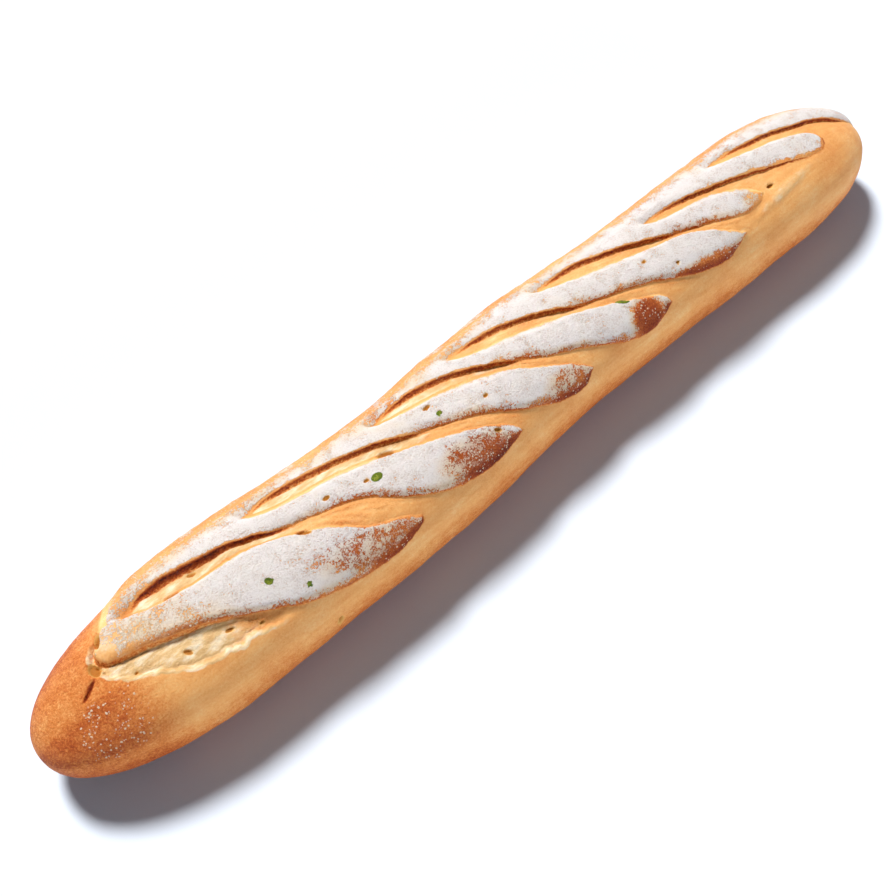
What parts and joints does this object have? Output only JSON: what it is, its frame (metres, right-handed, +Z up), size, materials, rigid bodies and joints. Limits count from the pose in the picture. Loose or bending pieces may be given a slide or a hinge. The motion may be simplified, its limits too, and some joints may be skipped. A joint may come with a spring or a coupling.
{
  "type": "baguette",
  "caption": "Long, slim crusty loaf with rounded ends, a flat underside, slanting cuts across its floured top and a torn opening near one end.",
  "frame": {"origin": "the surface that the loaf lies on, under the middle of the loaf's box", "axes": "+X along the loaf, from the blunt floured-rim end to the slimmer end; +Z up, through the scored top; +Y across the loaf"},
  "size_m": [0.52, 0.0744, 0.053],
  "materials": {
    "crust": "dry baked crust, dull to faintly satin, floured in patches on top, with pale crumb where it has torn open"
  },
  "bodies": {
    "root": {"loaf": "crust"}
  },
  "joints": []
}
